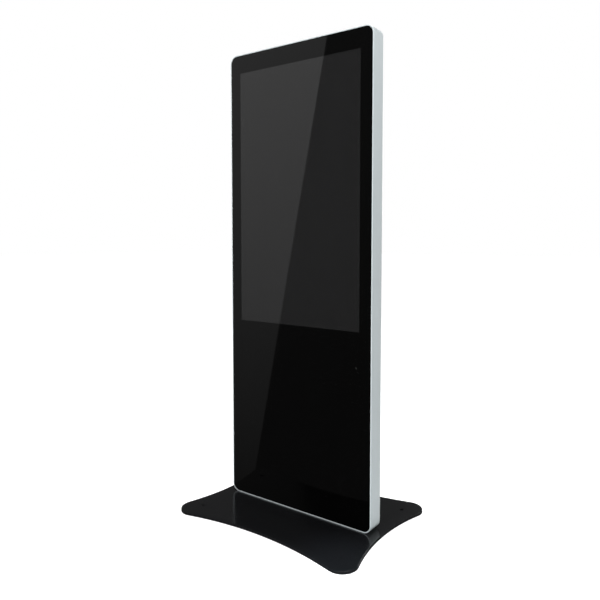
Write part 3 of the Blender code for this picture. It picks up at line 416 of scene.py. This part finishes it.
def circle(radius, sides):
    return [(radius * math.cos(math.tau * i / sides), radius * math.sin(math.tau * i / sides))
            for i in range(sides)]


def moved(outline, u, v):
    return [(a + u, b + v) for a, b in outline]


def arc(centre, radius, start, end, steps):
    return [(centre[0] + radius * math.cos(start + (end - start) * i / steps),
             centre[1] + radius * math.sin(start + (end - start) * i / steps))
            for i in range(steps + 1)]


def base_outline(half_x, half_y, inset):
    """Four rounded tips joined by hollow arcs that meet the tips in a smooth line."""
    radius = BASE_TIP_RADIUS
    tip_x, tip_y = half_x - radius, half_y - radius
    rise_x = BASE_MIDDLE[0] - tip_x
    rise_y = BASE_MIDDLE[1] - tip_y
    side_radius = (tip_y**2 + rise_x**2 - radius**2) / (2 * (radius - rise_x))
    front_radius = (tip_x**2 + rise_y**2 - radius**2) / (2 * (radius - rise_y))
    side_half = math.asin(tip_y / (side_radius + radius))
    front_half = math.asin(tip_x / (front_radius + radius))
    side = (BASE_MIDDLE[0] + side_radius, side_radius, side_half)
    front = (BASE_MIDDLE[1] + front_radius, front_radius, front_half)
    points = []
    for quarter in range(4):
        turn = quarter * math.pi / 2
        first, second = (side, front) if quarter % 2 == 0 else (front, side)
        tip = (tip_x, tip_y) if quarter % 2 == 0 else (tip_y, tip_x)
        hollow = arc((first[0], 0), first[1] + inset, math.pi + first[2], math.pi - first[2],
                     40)
        end = arc(tip, radius - inset, -first[2], math.pi / 2 + second[2], 28)
        for u, v in hollow[:-1] + end[:-1]:
            points.append((u * math.cos(turn) - v * math.sin(turn),
                           u * math.sin(turn) + v * math.cos(turn)))
    return points


# ---- meshes -------------------------------------------------------------------------------------

def upward(u, v, w):
    return (u, v, w)


def backward(u, v, w):
    return (u, w, v)


def add_layers(bm, layers, place, ring=False, caps=(True, True)):
    """Join outlines of equal length, given as (outline, height), and return their loops."""
    loops = [[bm.verts.new(place(u, v, height)) for u, v in outline]
             for outline, height in layers]
    pairs = list(zip(loops, loops[1:]))
    if ring:
        pairs.append((loops[-1], loops[0]))
    for low, high in pairs:
        for i in range(len(low)):
            after = (i + 1) % len(low)
            bm.faces.new((low[i], low[after], high[after], high[i]))
    if not ring:
        for loop, wanted in zip((loops[0], loops[-1]), caps):
            if wanted:
                bm.faces.new(loop)
    return loops


def add_prism(bm, outline, low, high, place):
    return add_layers(bm, [(outline, low), (outline, high)], place)


def add_lathe(bm, profile, sides, place, centre):
    """Turn a profile of (radius, height) points about a line through centre."""
    u, v = centre
    layers = [(moved(circle(radius, sides), u, v), height) for radius, height in profile]
    return add_layers(bm, layers, place)


def new_object(name, bm):
    bmesh.ops.recalc_face_normals(bm, faces=bm.faces)
    mesh = bpy.data.meshes.new(name)
    bm.to_mesh(mesh)
    bm.free()
    obj = bpy.data.objects.new(name, mesh)
    bpy.context.scene.collection.objects.link(obj)
    return obj


def settle(obj):
    """Make the modifiers' result the piece's own mesh."""
    graph = bpy.context.evaluated_depsgraph_get()
    made = bpy.data.meshes.new_from_object(obj.evaluated_get(graph))
    obj.modifiers.clear()
    old = obj.data
    obj.data = made
    bpy.data.meshes.remove(old)
    made.name = obj.name


def piece(name, bm, body, slot, *materials, holes=None):
    """One shown piece. Large flat faces keep flat normals beside the small roundings."""
    obj = new_object(name, bm)
    for material in materials:
        obj.data.materials.append(material)
    if holes:
        cutter = new_object(name + "_cutter", holes)
        modifier = obj.modifiers.new("holes", "BOOLEAN")
        modifier.operation = "DIFFERENCE"
        modifier.solver = "EXACT"
        modifier.object = cutter
        settle(obj)
        bpy.data.meshes.remove(cutter.data)
    obj.data.shade_smooth()
    obj.data.set_sharp_from_angle(angle=SHARP_ANGLE)
    weighted = obj.modifiers.new("weighted_normals", "WEIGHTED_NORMAL")
    weighted.keep_sharp = True
    weighted.weight = 100
    settle(obj)
    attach(obj, body)
    return obj


def middle(node):
    low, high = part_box(node)
    return (low + high) / 2


# ---- the kiosk's main pieces --------------------------------------------------------------------

def body_outline(inset):
    return rounded(BODY_WIDTH - 2 * inset, BODY_HEIGHT - 2 * inset, CORNER_RADIUS - inset,
                   CORNER_STEPS)


def body_layers(profile):
    """Profile is (inset, depth) points; the outlines stand at the body's height."""
    return [(moved(body_outline(inset), 0, MIDDLE_Z), depth) for inset, depth in profile]


def make_frame_band():
    """The metal band round the body, with a ledge for the glass and one for the rear cover."""
    ledge_front = FRONT + GLASS_RECESS + GLASS_THICKNESS + GASKET_THICKNESS + 2 * GAP
    return_back = BACK - COVER_THICKNESS - GAP
    return_front = return_back - LEDGE_THICKNESS
    front_centre = (FRONT_EDGE_RADIUS, FRONT + FRONT_EDGE_RADIUS)
    back_centre = (BACK_EDGE_RADIUS, BACK - BACK_EDGE_RADIUS)
    front_edge = arc(front_centre, FRONT_EDGE_RADIUS, math.pi, 1.5 * math.pi, 6)
    back_edge = arc(back_centre, BACK_EDGE_RADIUS, math.pi / 2, math.pi, 7)
    profile = front_edge + [
        (BEAD - 0.0001, FRONT), (BEAD, FRONT + 0.0002),
        (BEAD, ledge_front), (LEDGE, ledge_front), (LEDGE, ledge_front + LEDGE_THICKNESS),
        (WALL, ledge_front + LEDGE_THICKNESS), (WALL, return_front), (LEDGE, return_front),
        (LEDGE, return_back), (BEAD, return_back), (BEAD, BACK - 0.0002), (BEAD - 0.0001, BACK),
    ] + back_edge
    bm = bmesh.new()
    add_layers(bm, body_layers(profile), backward, ring=True)
    holes = bmesh.new()
    for number in range(1, 5):
        spot = middle(f"base_bolt_{number}")
        add_prism(holes, moved(circle(BOLT_HOLE_RADIUS, 24), spot.x, spot.y), BODY_FOOT - 0.01,
                  BODY_FOOT + WALL + 0.002, upward)
    for number in range(1, 7):
        spot = middle(f"cover_screw_{number}")
        add_prism(holes, moved(circle(COVER_SCREW_HOLE_RADIUS, 20), spot.x, spot.z),
                  return_front - 0.002, return_back + 0.002, backward)
    band = piece("frame_band", bm, "kiosk", "frame_aluminium", ALUMINIUM, holes=holes)
    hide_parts("side_frame")


def make_cover_glass():
    """Front glass in one piece: black print round a window over the display."""
    low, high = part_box("front_glass")
    film_low, film_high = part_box("touch_film")
    screen_z = (film_low.z + film_high.z) / 2
    inset = BEAD + 0.0005
    chamfer = 0.0004
    bm = bmesh.new()
    window = moved(rounded(*SCREEN_SIZE, 0.0006, CORNER_STEPS), 0, screen_z)
    layers = [(window, low.y)] + body_layers(
        [(inset + chamfer, low.y), (inset, low.y + chamfer), (inset, high.y)])
    loops = add_layers(bm, layers, backward, caps=(False, True))
    bm.faces.new(loops[0]).material_index = 1
    glass = piece("cover_glass", bm, "kiosk", "front_glass", BORDER_GLASS, SCREEN_GLASS)
    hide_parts("front_glass")

    spot = middle("sensor")
    bm = bmesh.new()
    disc = ((0.0027, low.y + 0.0001), (0.0027, low.y - 0.00004), (0.0025, low.y - 0.00008))
    add_lathe(bm, disc, 24, backward, (spot.x, spot.z))
    piece("sensor_window", bm, "kiosk", "front_glass", SENSOR_GLASS)


def make_floor_plate():
    """The four-pointed plate, rounded along its top edge, with anchor and body bolt holes."""
    low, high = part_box("base_plate")
    half_x, half_y = high.x, high.y
    edge = 0.0014  # radius of the rounding
    profile = [(0.0010, low.z), (0.0003, low.z + 0.0003), (0.0, low.z + 0.0010)]
    for inset, height in arc((edge, high.z - edge), edge, math.pi, math.pi / 2, 6):
        profile.append((inset, height))
    bm = bmesh.new()
    add_layers(bm, [(base_outline(half_x, half_y, inset), z) for inset, z in profile], upward)
    holes = bmesh.new()
    lip = 0.0005  # chamfer at an anchor hole's mouth
    for number in range(1, 5):
        spot = middle(f"base_pad_{number}")
        hole = ((ANCHOR_RADIUS, low.z - 0.005), (ANCHOR_RADIUS, high.z - lip),
                (ANCHOR_RADIUS + lip, high.z), (ANCHOR_RADIUS + lip + 0.002, high.z + 0.002))
        add_lathe(holes, hole, 40, upward, (spot.x, spot.y))
        spot = middle(f"base_bolt_{number}")
        sink = ((COUNTERSINK_RADIUS, low.z - 0.001), (COUNTERSINK_RADIUS, low.z + 0.0012),
                (BOLT_HOLE_RADIUS, low.z + 0.0065), (BOLT_HOLE_RADIUS, high.z + 0.002))
        add_lathe(holes, sink, 32, upward, (spot.x, spot.y))
    plate = piece("floor_plate", bm, "kiosk", "black_powder_coat", BASE_PAINT, holes=holes)
    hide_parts("base_plate")


# ---- small parts --------------------------------------------------------------------------------

def add_dome(bm, centre, seat, radius, height):
    """A low round head standing on the plane y = seat, towards the back."""
    profile = [(radius, seat), (radius, seat + 0.25 * height)]
    for step in range(1, 5):
        angle = step * math.pi / 10
        profile.append((radius * math.cos(angle),
                        seat + height * (0.25 + 0.75 * math.sin(angle))))
    add_lathe(bm, profile, 20, backward, centre)


def add_block(bm, x, y, z):
    """A box given as the two ends of each side."""
    outline = [(x[0], z[0]), (x[1], z[0]), (x[1], z[1]), (x[0], z[1])]
    add_prism(bm, outline, y[0], y[1], backward)


def make_hinge_rivets():
    """Three rivet heads on each hinge leaf."""
    from_edge, pitch = 0.0085, 0.021
    for label in ("lower", "upper"):
        for owner, body in (("cover", "kiosk"), ("door", "door")):
            low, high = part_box(f"hinge_leaf_{owner}_{label}")
            x = high.x - from_edge if owner == "cover" else low.x + from_edge
            seat = BACK + GAP + HINGE_LEAF_THICKNESS
            bm = bmesh.new()
            for step in (-1, 0, 1):
                z = (low.z + high.z) / 2 + step * pitch
                add_dome(bm, (x, z), seat - 0.0001, 0.0026, 0.0012)
            piece(f"hinge_rivets_{owner}_{label}", bm, body, "plated_steel", RIVET)


def make_board_parts():
    """Connector shells, chips and capacitor sleeves over the computer board's plain blocks."""
    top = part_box("controller_heatsink")[0].y - GAP
    skin = 0.00015  # how far each of these stands off the block it covers
    shells = bmesh.new()
    for z in (0.190, 0.214):
        low = BODY_FOOT + z
        add_block(shells, (0.034 - skin, 0.050 + skin), (top + skin, top + 0.012 + skin),
                  (low - skin, low + 0.016 + skin))
    piece("board_connector_shells", shells, "kiosk", "bare_aluminium", MILL)
    blocks = ((0.150, 0.190, 0.300, 0.308, 0.006), (0.176, 0.194, 0.200, 0.240, 0.009),
              (0.070, 0.100, 0.190, 0.196, 0.006), (0.110, 0.124, 0.290, 0.304, 0.003))
    chips = bmesh.new()
    for x0, x1, z0, z1, tall in blocks:
        add_block(chips, (x0 - skin, x1 + skin), (top + skin, top + tall + skin),
                  (BODY_FOOT + z0 - skin, BODY_FOOT + z1 + skin))
    for x, z, width, height in ((0.150, 0.262, 0.012, 0.012), (0.150, 0.232, 0.014, 0.010),
                                (0.074, 0.270, 0.009, 0.014), (0.074, 0.230, 0.008, 0.008),
                                (0.130, 0.205, 0.016, 0.007)):
        add_block(chips, (x - width / 2, x + width / 2), (top + skin, top + 0.0011),
                  (BODY_FOOT + z - height / 2, BODY_FOOT + z + height / 2))
    piece("board_chips", chips, "kiosk", "black_plastic", BLACK_PLASTIC)
    sleeves = bmesh.new()
    for number in range(4):
        centre = (0.065 + number * 0.011, BODY_FOOT + 0.306)
        profile = ((0.0043, top + skin), (0.0043, top + 0.0108), (0.0039, top + 0.0113))
        add_lathe(sleeves, profile, 24, backward, centre)
    piece("board_capacitors", sleeves, "kiosk", "bare_aluminium", MILL)


def make_terminal_screws():
    """Screw heads between the ribs of the power supply's terminal row."""
    low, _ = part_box("power_supply")
    seat = low.y + 0.012
    pitch = 0.015
    head = ((0.0036, seat + 0.0001), (0.0036, seat + 0.0016), (0.0032, seat + 0.0022))
    bm = bmesh.new()
    for number in range(6):
        add_lathe(bm, head, 24, backward, (low.x + 0.0185 + number * pitch, low.z + 0.009))
    piece("terminal_screws", bm, "kiosk", "plated_steel", ZINC)


# ---- studio -------------------------------------------------------------------------------------

def emitter(name):
    """A glowing material, with its node tree and the node whose strength is left to set."""
    material = bpy.data.materials.new(name)
    material.use_nodes = True
    tree = material.node_tree
    tree.nodes.clear()
    output = tree.nodes.new("ShaderNodeOutputMaterial")
    emission = tree.nodes.new("ShaderNodeEmission")
    tree.links.new(emission.outputs[0], output.inputs["Surface"])
    return material, tree, emission


def make_world():
    """White to the camera, a soft fill on matt surfaces, and a dark room for gloss to mirror."""
    world = bpy.data.worlds.new("studio")
    bpy.context.scene.world = world
    world.use_nodes = True
    tree = world.node_tree
    background = tree.nodes["Background"]
    path = tree.nodes.new("ShaderNodeLightPath")
    coordinates = tree.nodes.new("ShaderNodeTexCoord")
    split = tree.nodes.new("ShaderNodeSeparateXYZ")
    tree.links.new(coordinates.outputs["Generated"], split.inputs[0])
    rise = tree.nodes.new("ShaderNodeMapRange")
    for key, value in (("From Min", -0.30), ("From Max", 0.55),
                       ("To Min", 0.050), ("To Max", 0.096)):
        rise.inputs[key].default_value = value
    tree.links.new(split.outputs["Z"], rise.inputs["Value"])
    mirrored = tree.nodes.new("ShaderNodeMix")
    mirrored.inputs[2].default_value = 0.38
    tree.links.new(path.outputs["Is Glossy Ray"], mirrored.inputs[0])
    tree.links.new(rise.outputs["Result"], mirrored.inputs[3])
    seen = tree.nodes.new("ShaderNodeMix")
    seen.inputs[3].default_value = 1.0
    tree.links.new(path.outputs["Is Camera Ray"], seen.inputs[0])
    tree.links.new(mirrored.outputs[0], seen.inputs[2])
    background.inputs["Color"].default_value = (1.0, 1.0, 1.0, 1.0)
    tree.links.new(seen.outputs[0], background.inputs["Strength"])


def hang(light, place, target):
    """An object that holds the light at place and aims it at target."""
    obj = bpy.data.objects.new(light.name, light)
    bpy.context.scene.collection.objects.link(obj)
    obj.location = place
    obj.rotation_euler = (Vector(target) - Vector(place)).to_track_quat("-Z", "Y").to_euler()
    return obj


def softbox(name, place, target, width, height, radiance):
    """A rectangular light that looks equally bright whatever its size."""
    light = bpy.data.lights.new(name, "AREA")
    light.shape = "RECTANGLE"
    light.size = width
    light.size_y = height
    light.energy = radiance * math.pi * width * height
    obj = hang(light, place, target)
    obj.visible_camera = False
    return obj


def corner_spot():
    """A small spot from above onto the front right corner of the base plate."""
    light = bpy.data.lights.new("corner_spot", "SPOT")
    light.energy = 240.0
    light.color = (0.85, 0.95, 1.0)
    light.spot_size = math.radians(15)
    light.spot_blend = 1.0
    light.shadow_soft_size = 0.08
    spot = hang(light, (0.30, -1.00, 1.50), (0.345, -0.265, 0.0))
    spot.visible_glossy = False


def sheet(name, corners, material):
    """A single flat face."""
    bm = bmesh.new()
    bm.faces.new([bm.verts.new(corner) for corner in corners])
    mesh = bpy.data.meshes.new(name)
    bm.to_mesh(mesh)
    bm.free()
    mesh.materials.append(material)
    obj = bpy.data.objects.new(name, mesh)
    bpy.context.scene.collection.objects.link(obj)
    return obj


def make_floor():
    """A plain pale floor, bright enough to run into the white round it."""
    reach = 30.0
    corners = [(x * reach, y * reach, 0.0) for x, y in ((-1, -1), (1, -1), (1, 1), (-1, 1))]
    look = Look("studio_floor", (0.82, 0.82, 0.82), 0.9)
    look.set("Emission Color", (1.0, 1.0, 1.0, 1.0))
    look.set("Emission Strength", 0.75)
    floor = sheet("studio_floor", corners, look.material)
    floor.visible_glossy = False


def make_reflector():
    """A tall board to the left of the camera, whose slanting edge the glass mirrors."""
    depth = -3.0
    edge = ((-1.568, 4.270), (-3.289, -4.000))
    corners = [(x, depth, z) for x, z in (*edge, (-7.0, -4.0), (-7.0, 4.270))]
    material, tree, emission = emitter("reflector_glow")
    coordinates = tree.nodes.new("ShaderNodeTexCoord")
    split = tree.nodes.new("ShaderNodeSeparateXYZ")
    tree.links.new(coordinates.outputs["Object"], split.inputs[0])
    glow = tree.nodes.new("ShaderNodeMapRange")
    for key, value in (("From Min", -2.2), ("From Max", 3.0),
                       ("To Min", 0.045), ("To Max", 0.46)):
        glow.inputs[key].default_value = value
    tree.links.new(split.outputs["Z"], glow.inputs["Value"])
    tree.links.new(glow.outputs["Result"], emission.inputs["Strength"])
    board = sheet("reflector", corners, material)
    board.visible_camera = False
    board.visible_diffuse = False
    board.visible_shadow = False
    board.visible_transmission = False


def make_camera():
    """The camera at the photograph's viewing angle."""
    data = bpy.data.cameras.new("camera")
    data.sensor_width = 36.0
    data.lens = 35.81
    data.shift_x = -0.0019
    data.shift_y = -0.0500
    camera = bpy.data.objects.new("camera", data)
    bpy.context.scene.collection.objects.link(camera)
    camera.location = (1.2880, -1.7586, 1.0214)
    camera.rotation_euler = (math.radians(90 - 3.163), 0.0, math.radians(36.254))
    bpy.context.scene.camera = camera


def make_studio():
    make_world()
    make_floor()
    make_reflector()
    chest = (0.0, 0.0, 0.95)
    softbox("right_rear_softbox", (2.1, 3.3, 1.3), chest, 2.6, 2.6, 0.10)
    softbox("right_softbox", (3.6, -0.4, 1.6), chest, 1.8, 2.4, 0.15)
    front = softbox("front_softbox", (0.3, -4.4, 1.6), chest, 1.2, 2.6, 17.0)
    front.visible_glossy = False
    softbox("rear_softbox", (-0.3, 4.4, 2.1), chest, 1.0, 2.0, 9.0)
    softbox("left_softbox", (-3.6, 0.6, 1.5), chest, 1.8, 2.4, 0.35)
    softbox("top_softbox", (0.3, 0.3, 4.2), chest, 2.4, 2.4, 4.0)
    softbox("upper_right_softbox", (1.4, 0.3, 2.4), (0.314, 0.0, 1.6), 0.8, 0.8, 5.0)
    softbox("low_right_softbox", (0.9, 0.1, 0.15), (0.314, 0.0, 0.05), 0.3, 0.3, 0.7)
    corner_spot()
    bpy.context.scene.view_settings.view_transform = "Standard"
    make_camera()


finish_nodes()
make_frame_band()
make_cover_glass()
make_floor_plate()
make_hinge_rivets()
make_board_parts()
make_terminal_screws()
make_studio()
